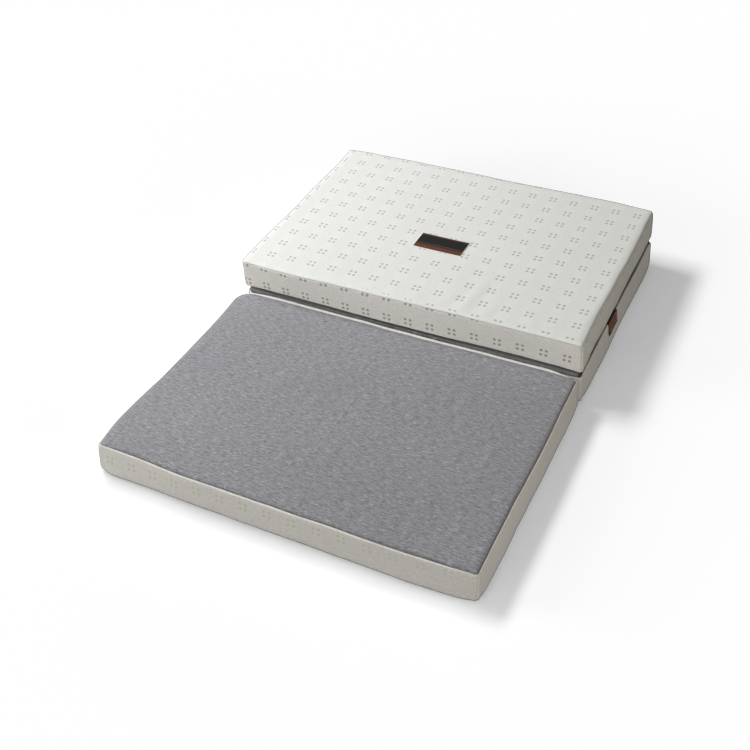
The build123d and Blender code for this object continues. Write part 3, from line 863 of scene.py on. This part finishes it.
for name, par in SECTIONS.items():
    s = Section(name, **par)
    built[name] = s
    gray_top = s.gray_up
    face = s.panel(name + "_gray_face_cloth", {"front": MAT_GRAY_FRONT, "middle": MAT_GRAY_MIDDLE}.get(name, MAT_GRAY), True, gray_top, 1.0 if gray_top else 0.0,
                   gray_creases if name == "front" else None, {"middle": pressed_under, "folded": resting_sag}.get(name))
    declare(face, s.body, [name + "_gray_face"])
    mat = dotted_cloth(name + "_back_jacquard", "xy", GRID[(name, "back")], IVORY, DOT_GRAY, **TILT.get((name, "back"), {}))
    back = s.panel(name + "_dotted_back_cloth", mat, False, not gray_top, 1.0 if not gray_top else 0.0,
                   folded_creases if name == "folded" else None)
    declare(back, s.body, [name + "_dotted_back"])
    zc = s.z0 + T / 2
    ya, yb = s.cy - ZIP_L / 2, s.cy + ZIP_L / 2
    for side, label in enumerate(("front", "right", "rear", "left")):
        # painted light and shade: a few strips' ivory is scaled lighter or darker for how they are lit
        ivory = tuple(q * STRIP_PAINTED_LIGHT.get((name, side), 1.0) for q in IVORY_SIDE[:3]) + (1.0,)
        # painted sheen: the dots' colour and strength differ by strip
        dot, k = DOT_PAINTED_SHEEN.get((name, side), (DOT_GRAY, 0.9))
        mat = dotted_cloth(name + "_" + label + "_jacquard", "yz" if side % 2 else "xz", GRID[(name, side)], ivory, dot, k, 0.6, **TILT.get((name, side), {}))
        ob = s.gusset(side, mat, zip_slot=(ya - 6, yb + 6, zc) if side == 3 else None)
        length = (L if side % 2 else W) + 6
        height = T + 10
        area = None
        if side == 3:
            area = (length * height - 11 * (ZIP_L + 12)) * MM * MM
        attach(ob, s.body)
        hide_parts(name + "_" + label + "_gusset")
    # foam block inside the cover
    rows = [(26.0, 2.6), (17.0, 2.6), (12.0, 3.2), (9.6, 4.6), (8.6, 6.8), (8.4, 10.0), (8.4, T / 2 - 0.3)]
    give = 4.2 if name == "middle" else 0.0      # pressed by the section on top of it
    prof = rows + [(d, T - 0.6 - q - (give if q < 8 else 0.0)) for d, q in rows[::-1]]
    loops = []
    for d, q in prof:
        p = ring(d, s.radii)
        loops.append(np.stack([p[:, 0] + s.cx, p[:, 1] + s.cy, np.full(M, s.z0 + q)], -1))
    v = np.vstack(loops)
    f = grid_faces(len(loops), M, close=True).tolist()
    f.append(list(range(M))[::-1])
    f.append(list(range((len(loops) - 1) * M, len(loops) * M)))
    foam = mesh_object(name + "_foam_block", s.warp(v), f, MAT_FOAM)
    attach(foam, s.body)
    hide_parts(name + "_foam_core")

# ------------------------------------------------------------------ zips


def tube(points, radius, sides=6):
    """Closed tube along a list of points, as verts and faces."""
    p = np.asarray(points, float)
    d = np.gradient(p, axis=0)
    d /= np.linalg.norm(d, axis=1)[:, None]
    ref = np.array([0.31, 0.52, 0.79])
    n = np.cross(d, ref)
    n /= np.linalg.norm(n, axis=1)[:, None]
    b = np.cross(d, n)
    ang = np.linspace(0, 2 * np.pi, sides, endpoint=False)
    v = (p[:, None] + radius * (np.cos(ang)[None, :, None] * n[:, None] + np.sin(ang)[None, :, None] * b[:, None])).reshape(-1, 3)
    f = grid_faces(len(p), sides, close=True).tolist()
    f.append(list(range(sides))[::-1])
    f.append(list(range((len(p) - 1) * sides, len(p) * sides)))
    return v, f


def stitches(name, path, out, mat, pitch=3.4, length=2.6, radius=0.28, sag=0.22):
    """A row of lock stitches along path (mm), each a short bowed thread; out is the side it lies on."""
    path = np.asarray(path, float)
    seg = np.linalg.norm(np.diff(path, axis=0), axis=1)
    s = np.concatenate([[0], np.cumsum(seg)])
    out = np.asarray(out, float)
    allv, allf, base = [], [], 0
    for a in np.arange(pitch / 2, s[-1] - length, pitch):
        u = np.linspace(a, a + length, 5)
        pts = np.stack([np.interp(u, s, path[:, k]) for k in range(3)], -1)
        lift = np.array([-0.25, 0.12, sag, 0.12, -0.25])
        pts = pts + out * lift[:, None]
        v, f = tube(pts, radius, 5)
        allv.append(v)
        allf += [[i + base for i in q] for q in f]
        base += len(v)
    return mesh_object(name, np.vstack(allv), allf, mat)


for name, s in built.items():
    xs = s.cx - W / 2
    zc = s.z0 + T / 2
    ya, yb = s.cy - ZIP_L / 2, s.cy + ZIP_L / 2
    # tape: two woven halves that meet under the coil
    ys = np.linspace(ya - 11, yb + 11, 150)
    prof = [(0.9, -8.0), (0.75, -6.0), (0.45, -4.0), (0.15, -2.2), (0.0, -0.7), (0.35, 0.0), (0.0, 0.7), (0.15, 2.2), (0.45, 4.0), (0.75, 6.0), (0.9, 8.0)]
    v = np.array([[(xs + d, y, zc + q) for y in ys] for d, q in prof])
    tape = mesh_object(name + "_zip_tape_cloth", v.reshape(-1, 3), grid_faces(len(prof), len(ys)), MAT_TAPE, thick=0.6)
    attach(tape, s.body)
    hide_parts(name + "_zip_tape")
    # coil: two rows of hooked loops, half a pitch apart
    pitch = 1.6
    n = int(ZIP_L / pitch)
    one = []
    for sgn in (-1, 1):
        q = np.array([(-0.1, 0, 2.45), (-0.75, 0, 2.5), (-1.2, 0.05, 1.9), (-1.22, 0.1, 0.7), (-1.1, 0.12, -0.35), (-0.7, 0.12, -0.55), (-0.35, 0.1, -0.1)])
        q = refine(q)
        q[:, 2] *= sgn
        one.append(q)
    allv, allf, base = [], [], 0
    for k in range(n):
        for sgn in (0, 1):
            y = ya + 0.6 + (k + 0.5 * sgn) * pitch
            tv, tf = tube(one[sgn] + np.array([xs, y, zc]), 0.34, 5)
            allv.append(tv)
            allf += [[i + base for i in q] for q in tf]
            base += len(tv)
    coil = mesh_object(name + "_zip_coil_teeth", np.vstack(allv), allf, MAT_COIL)
    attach(coil, s.body)
    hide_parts(name + "_zip_coil")
    # two rows of stitches hold the gusset's folded edges to the tape
    for sgn, tag in ((1, "upper"), (-1, "lower")):
        path = [(xs - 0.75, y, zc + sgn * 7.4) for y in np.linspace(ya - 4, yb + 4, 60)]
        st = stitches(name + "_zip_stitching_" + tag, path, (-1, 0, 0), MAT_THREAD)
        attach(st, s.body)
    for part in ("zip_stops", "zip_slider", "zip_pull"):
        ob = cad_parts[name + "_" + part]
        ob = ob if isinstance(ob, bpy.types.Object) else bpy.data.objects[name + "_" + part]
        for i in range(max(1, len(ob.material_slots))):
            if not ob.material_slots:
                ob.data.materials.append(MAT_METAL)
            else:
                ob.material_slots[i].material = MAT_METAL

# ------------------------------------------------------------------ fold strips
hx = W / 2 - 30.0


def strip(name, profile, x0, x1, mat, ripple, seed, n=150, thick=0.9):
    xs = np.linspace(x0, x1, n)
    pr = refine(profile, 2)
    u = np.linspace(0, 1, len(pr))
    bow = np.sin(np.pi * u) ** 2
    v = []
    for k, (y, z) in enumerate(pr):
        w = ripple * bow[k]
        v.append(np.stack([xs, y + w * wave1(xs, 120, seed), z + 0.5 * w * wave1(xs, 75, seed + 1)], -1))
    return mesh_object(name, np.array(v).reshape(-1, 3), grid_faces(len(pr), n), mat, thick=thick)


MAT_STRIP = dotted_cloth("fold_strip_jacquard", "xy", (5.0, -8.5), IVORY_SIDE, DOT_GRAY, 0.7, 0.5)
front_strip = strip("front_fold_strip_cloth", [(-21.0, 4.0), (-16.5, 3.8), (-13.0, 2.9), (-10.6, 1.5), (-8.5, 1.1), (-6.4, 1.5), (-4.0, 2.9), (-0.5, 3.8), (4.0, 4.0)], 2 - hx, 2 + hx, MAT_STRIP, 0.15, 901)
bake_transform(front_strip)
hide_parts("front_fold_strip_front", "front_fold_strip_middle")

MAT_GRAY_STRIP = gray_heather("gray_fold_strip_cloth", "xy", 0.95)
rear_strip = strip("rear_fold_strip_cloth", [(669.0, 79.6), (674.0, 80.2), (678.5, 81.8), (683.5, 84.2), (689.0, 86.2), (692.6, 87.6), (694.0, 89.0), (692.8, 90.1), (689.6, 90.2), (686.4, 90.2), (683.4, 90.5), (680.6, 91.6), (678.8, 93.0), (677.6, 94.2)][::-1], -2 - hx, hx - 2, MAT_GRAY_STRIP, 0.4, 931)
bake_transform(rear_strip)
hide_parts("rear_fold_strip_middle", "rear_fold_strip_folded")

# ------------------------------------------------------------------ label and tag
folded = built["folded"]


def top_height(x, y):
    z = folded.z0 + T - GRAY_Z + folded.face_relief(np.asarray(x, float), np.asarray(y, float), True)
    return z + folded_creases(np.asarray(x, float), np.asarray(y, float))


lx, ly, lw, ld = -10.0, 288.0, 146.0, 75.0
gx, gy = np.meshgrid(np.linspace(-lw / 2, lw / 2, 60), np.linspace(-ld / 2, ld / 2, 32), indexing="ij")
edge = np.minimum(lw / 2 - np.abs(gx), ld / 2 - np.abs(gy))
gz = top_height(gx + lx, gy + ly) + 0.75 + 0.25 * wave2(gx, gy, 40, 30, 77) * smooth(edge, 0, 8) - 0.35 * (1 - smooth(edge, 0, 3))
# pulled down a little along its stitch line, which runs 3 mm inside the edge
gz = gz - 0.28 * np.exp(-((edge - 3.4) / 0.9) ** 2)
v = np.stack([gx + lx, gy + ly, gz], -1)
MAT_LABEL = label_material(lx - lw / 2, lx + lw / 2, ly - ld / 2, ly + ld / 2, ly - ld / 2 + 21.0)
label = mesh_object("face_label_cloth", v.reshape(-1, 3), grid_faces(60, 32, flip=True), MAT_LABEL, thick=0.55)
declare(label, "folded_section", ["face_label"])
MAT_LABEL_THREAD = thread_material("dark_thread", rgb(30, 26, 26), rgb(60, 52, 52))
q = 3.4
path = [(-lw / 2 + q, -ld / 2 + q), (lw / 2 - q, -ld / 2 + q), (lw / 2 - q, ld / 2 - q), (-lw / 2 + q, ld / 2 - q), (-lw / 2 + q, -ld / 2 + q)]
pp = []
for a, b in zip(path[:-1], path[1:]):
    for u in np.linspace(0, 1, 40)[:-1]:
        x, y = a[0] + (b[0] - a[0]) * u + lx, a[1] + (b[1] - a[1]) * u + ly
        pp.append((x, y, float(top_height(x, y)) + 0.62))
lab_st = stitches("face_label_stitching", pp, (0, 0, 1), MAT_LABEL_THREAD, pitch=3.0, length=2.2, radius=0.22)
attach(lab_st, "folded_section")

# side tag: a loop of woven tape sewn into the middle section's upper right seam
ty0, ty1 = 231.5, 307.5
prof = refine([(483.0, 84.3), (486.4, 84.8), (488.2, 85.5), (489.5, 86.25), (490.9, 86.35), (492.5, 85.6), (493.7, 84.0), (494.5, 81.0), (495.2, 76.0), (496.7, 68.4), (498.6, 60.4), (500.4, 53.8), (500.6, 52.4), (499.9, 52.0), (499.2, 53.0), (497.6, 59.8), (495.8, 67.8), (494.5, 75.6), (493.85, 80.6), (493.05, 83.5), (492.1, 84.9), (490.8, 85.75), (489.6, 85.65), (488.3, 85.0), (486.4, 84.5), (483.0, 84.0)], 1)
ys = np.linspace(ty0, ty1, 44)
v = []
for k, (x, z) in enumerate(prof):
    free = smooth(x, 494.5, 500.5)
    v.append(np.stack([x + free * (1.2 * wave1(ys, 46, 55) - 0.8 * ((ys - 269.5) / 38) ** 2), ys - free * 4.0, z + free * 0.6 * wave1(ys, 33, 56)], -1))
MAT_TAG = tag_material(ty0, ty1, 56.0)
tag = mesh_object("side_tag_cloth", np.array(v).reshape(-1, 3), grid_faces(len(prof), len(ys), flip=True), MAT_TAG, thick=0.3)
declare(tag, "middle_section", ["side_tag"])

# ------------------------------------------------------------------ floor, light
fm = Nodes("pale_floor")
x, y, z, vv = fm.coords()
n = fm.noise(vv, 0.004, 2.0)
fm.put(fm.b.inputs["Base Color"], fm.mix(n, (0.51, 0.50, 0.465, 1), (0.55, 0.54, 0.505, 1)))
fm.b.inputs["Roughness"].default_value = 0.9
fm.b.inputs["Specular IOR Level"].default_value = 0.1
bpy.ops.mesh.primitive_plane_add(size=40.0, location=(0, 0, -0.0012))
floor = bpy.context.active_object
floor.name = "floor"
floor.data.materials.append(fm.mat)
floor.is_shadow_catcher = True

# Seen directly the studio is white.  Its light is a bright band round the horizon, dimmer
# towards +X, under a soft warm dome.
world = bpy.data.worlds.new("studio")
bpy.context.scene.world = world
world.use_nodes = True
wt = world.node_tree
bg = next(n for n in wt.nodes if n.type == "BACKGROUND")
tc = wt.nodes.new("ShaderNodeTexCoord")
sp = wt.nodes.new("ShaderNodeSeparateXYZ")
wt.links.new(tc.outputs["Generated"], sp.inputs[0])


def world_map(source, a, b, c, d):
    n = wt.nodes.new("ShaderNodeMapRange")
    n.interpolation_type = "SMOOTHSTEP"
    for k, q in (("From Min", a), ("From Max", b), ("To Min", c), ("To Max", d)):
        n.inputs[k].default_value = q
    wt.links.new(source, n.inputs["Value"])
    return n.outputs["Result"]


def world_math(op, a, b):
    n = wt.nodes.new("ShaderNodeMath")
    n.operation = op
    for i, q in enumerate((a, b)):
        if isinstance(q, bpy.types.NodeSocket):
            wt.links.new(q, n.inputs[i])
        else:
            n.inputs[i].default_value = q
    return n.outputs[0]


high = world_map(sp.outputs[2], 0.10, 0.26, 0.0, 1.0)
band = world_math("ADD", world_map(sp.outputs[0], -0.1, 0.9, 1.0, 0.22), world_map(sp.outputs[1], -0.95, -0.3, 0.30, 0.0))
dome = world_math("ADD", world_math("MULTIPLY", band, world_math("SUBTRACT", 1.0, high)), world_math("MULTIPLY", high, 0.20))
seen = wt.nodes.new("ShaderNodeLightPath").outputs["Is Camera Ray"]
strength = world_math("ADD", world_math("MULTIPLY", dome, world_math("SUBTRACT", 1.0, seen)), seen)
wt.links.new(strength, bg.inputs["Strength"])
warm = wt.nodes.new("ShaderNodeMix")
warm.data_type = "RGBA"
wt.links.new(world_math("MULTIPLY", high, world_math("SUBTRACT", 1.0, seen)), warm.inputs[0])
warm.inputs[6].default_value = (1.0, 1.0, 1.0, 1.0)
warm.inputs[7].default_value = (1.0, 0.965, 0.90, 1.0)
wt.links.new(warm.outputs[2], bg.inputs["Color"])


def area(name, pos, target, size, watts, colour=(1, 1, 1)):
    d = bpy.data.lights.new(name, "AREA")
    d.shape = "RECTANGLE"
    d.size, d.size_y = size
    d.energy = watts
    d.color = colour
    o = bpy.data.objects.new(name, d)
    o.location = pos
    o.rotation_mode = "QUATERNION"
    o.rotation_quaternion = (Vector(target) - Vector(pos)).to_track_quat("-Z", "Y")
    bpy.context.scene.collection.objects.link(o)
    return o


# the key is two lamps in one place; the second does not reach the floor, so its shadow stays pale
KEY = dict(pos=(-1.95, 0.45, 2.7), target=(0.0, -0.05, 0.05), size=(1.7, 0.7), colour=(0.985, 1.0, 1.01))
area("key", watts=47.9, **KEY)
key_soft = area("key_soft", watts=47.9, **KEY)
spared = bpy.data.collections.new("floor_spared")
spared.objects.link(floor)
spared.collection_objects[0].light_linking.link_state = "EXCLUDE"
key_soft.light_linking.receiver_collection = spared
area("fill", (-1.6, -1.1, 0.8), (0.0, -0.1, 0.1), (1.0, 0.8), 6.5, (1.0, 0.995, 0.98))
area("front_fill", (-0.4, -2.6, 0.8), (0.0, -0.2, 0.08), (1.4, 0.8), 7.4, (0.985, 1.0, 1.02))
area("side_fill", (1.75, -0.85, 0.68), (0.4, -0.2, 0.08), (1.0, 0.5), 4.4, (1.0, 0.975, 0.91))

bpy.context.scene.view_settings.view_transform = "Standard"
bpy.context.scene.view_settings.look = "None"
